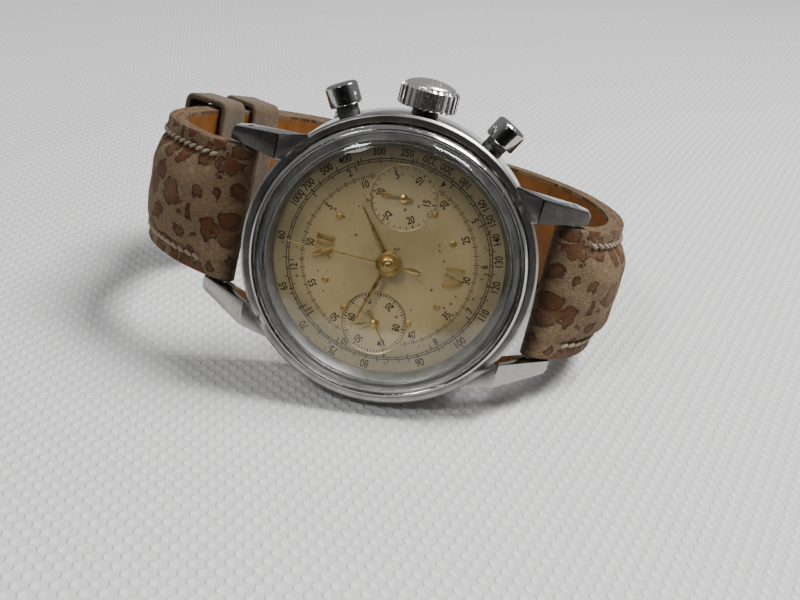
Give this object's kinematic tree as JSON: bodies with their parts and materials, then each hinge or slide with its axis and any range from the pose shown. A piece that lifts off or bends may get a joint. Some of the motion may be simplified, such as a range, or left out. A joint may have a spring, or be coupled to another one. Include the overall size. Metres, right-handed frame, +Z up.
{
  "type": "chronograph wristwatch",
  "caption": "Steel wristwatch with two small dials, a fluted crown, two push buttons and a buckled padded leather strap, lying on its side.",
  "frame": {"origin": "centre of the bounding box on the surface the watch lies on", "axes": "+Z up; the dial faces -Y and leans back, twelve o'clock points to -X, the crown points up"},
  "size_m": [0.0672, 0.0612, 0.0401],
  "materials": {
    "acrylic": "clear domed acrylic",
    "dial_paint": "aged cream lacquer",
    "rubber": "matt",
    "strap_leather": "spotted nubuck",
    "keeper_leather": "dark nubuck",
    "polished_steel": "polished stainless steel",
    "gilt": "gilt",
    "plated_brass": "rhodium plated",
    "brass": "satin",
    "steel": "satin"
  },
  "bodies": {
    "watch_head": {"crown_tube": "steel", "start_pusher_tube": "steel", "start_pusher_spring": "steel", "reset_pusher_tube": "steel", "reset_pusher_spring": "steel", "case_body": "steel", "bezel": "polished_steel", "crystal": "acrylic", "reflector_ring": "steel", "case_back": "steel", "case_back_gasket": "rubber", "spring_bar_twelve": "steel", "spring_bar_six": "steel", "dial": "dial_paint", "numeral_twelve_x": "gilt", "numeral_twelve_first_i": "gilt", "numeral_twelve_second_i": "gilt", "numeral_six_v": "gilt", "numeral_six_i": "gilt", "casing_ring": "brass", "main_plate": "plated_brass", "barrel_bridge": "plated_brass", "train_bridge": "plated_brass", "balance_cock": "plated_brass", "hairspring": "steel", "strap_buckle_half": "strap_leather", "strap_tail_half": "strap_leather", "buckle_spring_bar": "steel", "fixed_keeper": "keeper_leather"},
    "crown_slider": {"crown_gasket": "rubber"},
    "crown_and_stem": {"crown": "polished_steel", "winding_stem": "steel"},
    "crown_wheel": {"crown_wheel": "steel"},
    "ratchet_wheel": {"ratchet_wheel": "steel"},
    "start_pusher": {"start_pusher": "polished_steel"},
    "reset_pusher": {"reset_pusher": "polished_steel"},
    "start_lever": {"start_lever": "steel"},
    "reset_hammer": {"reset_hammer": "steel"},
    "column_wheel": {"column_wheel": "steel"},
    "minute_hand": {"cannon_pinion": "steel", "minute_hand": "gilt"},
    "hour_hand": {"hour_wheel": "brass", "hour_hand": "gilt"},
    "minute_wheel": {"minute_wheel": "brass"},
    "chrono_seconds": {"chronograph_wheel": "brass", "chrono_seconds_hand": "gilt"},
    "minute_recorder": {"minute_recorder_wheel": "brass", "minute_recorder_hand": "gilt"},
    "running_seconds": {"fourth_wheel": "brass", "running_seconds_hand": "gilt"},
    "third_wheel": {"third_wheel": "brass"},
    "centre_wheel": {"centre_wheel": "brass"},
    "barrel": {"barrel": "brass"},
    "escape_wheel": {"escape_wheel": "steel"},
    "coupling_wheel": {"coupling_wheel": "brass"},
    "pallet_fork": {"pallet_fork": "steel"},
    "balance_wheel": {"balance_wheel": "brass"},
    "buckle_frame": {"buckle_frame": "polished_steel"},
    "buckle_tongue": {"buckle_tongue": "polished_steel"},
    "free_keeper": {"free_keeper": "keeper_leather"}
  },
  "joints": [
    {"name": "crown_pull", "type": "slide", "parent": "watch_head", "child": "crown_slider", "axis": [0.1253, 0.1772, 0.9762], "range_m": [0, 0.0008]},
    {"name": "crown_turn", "type": "hinge", "parent": "crown_slider", "child": "crown_and_stem", "pos_m": [0.00547, -0.01818, 0.03764], "axis": [0.1253, 0.1772, 0.9762], "continuous": true},
    {"name": "crown_wheel_turn", "type": "hinge", "parent": "watch_head", "child": "crown_wheel", "pos_m": [0.00077, -0.02225, 0.02813], "axis": [0, -0.9839, 0.1786], "continuous": true},
    {"name": "ratchet_turn", "type": "hinge", "parent": "watch_head", "child": "ratchet_wheel", "pos_m": [-0.00011, -0.0232, 0.02288], "axis": [0, -0.9839, 0.1786], "continuous": true},
    {"name": "start_push", "type": "slide", "parent": "watch_head", "child": "start_pusher", "axis": [0.3714, -0.1659, -0.9136], "range_m": [0, 0.0009], "deforming": ["start_pusher_spring"]},
    {"name": "reset_push", "type": "slide", "parent": "watch_head", "child": "reset_pusher", "axis": [-0.5906, -0.1441, -0.794], "range_m": [0, 0.0009], "deforming": ["reset_pusher_spring"]},
    {"name": "start_lever_turn", "type": "hinge", "parent": "watch_head", "child": "start_lever", "pos_m": [-0.00521, -0.02215, 0.02867], "axis": [0, -0.9839, 0.1786], "range_deg": [-14, 0]},
    {"name": "reset_hammer_turn", "type": "hinge", "parent": "watch_head", "child": "reset_hammer", "pos_m": [0.01344, -0.02257, 0.02635], "axis": [0, -0.9839, 0.1786], "range_deg": [0, 14]},
    {"name": "column_wheel_turn", "type": "hinge", "parent": "watch_head", "child": "column_wheel", "pos_m": [-0.00693, -0.02316, 0.02313], "axis": [0, -0.9839, 0.1786], "continuous": true},
    {"name": "minute_turn", "type": "hinge", "parent": "watch_head", "child": "minute_hand", "pos_m": [0.00296, -0.02399, 0.01853], "axis": [0, -0.9839, 0.1786], "continuous": true},
    {"name": "hour_turn", "type": "hinge", "parent": "watch_head", "child": "hour_hand", "pos_m": [0.00296, -0.02399, 0.01853], "axis": [0, -0.9839, 0.1786], "continuous": true},
    {"name": "minute_wheel_turn", "type": "hinge", "parent": "watch_head", "child": "minute_wheel", "pos_m": [0.00583, -0.02364, 0.02045], "axis": [0, -0.9839, 0.1786], "continuous": true},
    {"name": "chrono_turn", "type": "hinge", "parent": "watch_head", "child": "chrono_seconds", "pos_m": [0.00296, -0.02399, 0.01853], "axis": [0, -0.9839, 0.1786], "continuous": true},
    {"name": "recorder_turn", "type": "hinge", "parent": "watch_head", "child": "minute_recorder", "pos_m": [0.00396, -0.02257, 0.02634], "axis": [0, -0.9839, 0.1786], "continuous": true},
    {"name": "fourth_turn", "type": "hinge", "parent": "watch_head", "child": "running_seconds", "pos_m": [0.00196, -0.02541, 0.01072], "axis": [0, -0.9839, 0.1786], "continuous": true},
    {"name": "third_turn", "type": "hinge", "parent": "watch_head", "child": "third_wheel", "pos_m": [-0.00091, -0.02477, 0.01425], "axis": [0, -0.9839, 0.1786], "continuous": true},
    {"name": "centre_turn", "type": "hinge", "parent": "watch_head", "child": "centre_wheel", "pos_m": [0.00296, -0.02399, 0.01853], "axis": [0, -0.9839, 0.1786], "continuous": true},
    {"name": "barrel_turn", "type": "hinge", "parent": "watch_head", "child": "barrel", "pos_m": [-0.00011, -0.0232, 0.02288], "axis": [0, -0.9839, 0.1786], "continuous": true},
    {"name": "escape_turn", "type": "hinge", "parent": "watch_head", "child": "escape_wheel", "pos_m": [0.00595, -0.02561, 0.00963], "axis": [0, -0.9839, 0.1786], "continuous": true},
    {"name": "coupling_turn", "type": "hinge", "parent": "watch_head", "child": "coupling_wheel", "pos_m": [0.00493, -0.02492, 0.01343], "axis": [0, -0.9839, 0.1786], "continuous": true},
    {"name": "pallet_rock", "type": "hinge", "parent": "watch_head", "child": "pallet_fork", "pos_m": [0.0085, -0.02514, 0.01219], "axis": [0, -0.9839, 0.1786], "range_deg": [-5, 5]},
    {"name": "balance_swing", "type": "hinge", "parent": "watch_head", "child": "balance_wheel", "pos_m": [0.012, -0.02447, 0.01592], "axis": [0, -0.9839, 0.1786], "range_deg": [-270, 270]},
    {"name": "buckle_swing", "type": "hinge", "parent": "watch_head", "child": "buckle_frame", "pos_m": [-0.01093, 0.02306, 0.01177], "axis": [0.1253, 0.1772, 0.9762], "range_deg": [-1, 6]},
    {"name": "tongue_swing", "type": "hinge", "parent": "buckle_frame", "child": "buckle_tongue", "pos_m": [-0.01093, 0.02306, 0.01177], "axis": [0.1253, 0.1772, 0.9762], "range_deg": [0, 40]},
    {"name": "keeper_slide", "type": "hinge", "parent": "watch_head", "child": "free_keeper", "pos_m": [0.00448, -0.00585, 0.01504], "axis": [0.1253, 0.1772, 0.9762], "range_deg": [-4, 4]}
  ],
  "couplings": [
    {"joint": "crown_wheel_turn", "follows": "crown_turn", "ratio": -0.5},
    {"joint": "ratchet_turn", "follows": "crown_turn", "ratio": 0.2836},
    {"joint": "start_lever_turn", "follows": "start_push", "rad_per_m": -265},
    {"joint": "reset_hammer_turn", "follows": "reset_push", "rad_per_m": 265},
    {"joint": "hour_turn", "follows": "minute_turn", "ratio": 0.083333},
    {"joint": "minute_wheel_turn", "follows": "minute_turn", "ratio": -0.25},
    {"joint": "recorder_turn", "follows": "chrono_turn", "ratio": 0.033333},
    {"joint": "third_turn", "follows": "fourth_turn", "ratio": -0.125},
    {"joint": "centre_turn", "follows": "fourth_turn", "ratio": 0.016667},
    {"joint": "barrel_turn", "follows": "fourth_turn", "ratio": -0.0020833},
    {"joint": "escape_turn", "follows": "fourth_turn", "ratio": -10},
    {"joint": "coupling_turn", "follows": "fourth_turn", "ratio": -2.6667}
  ]
}
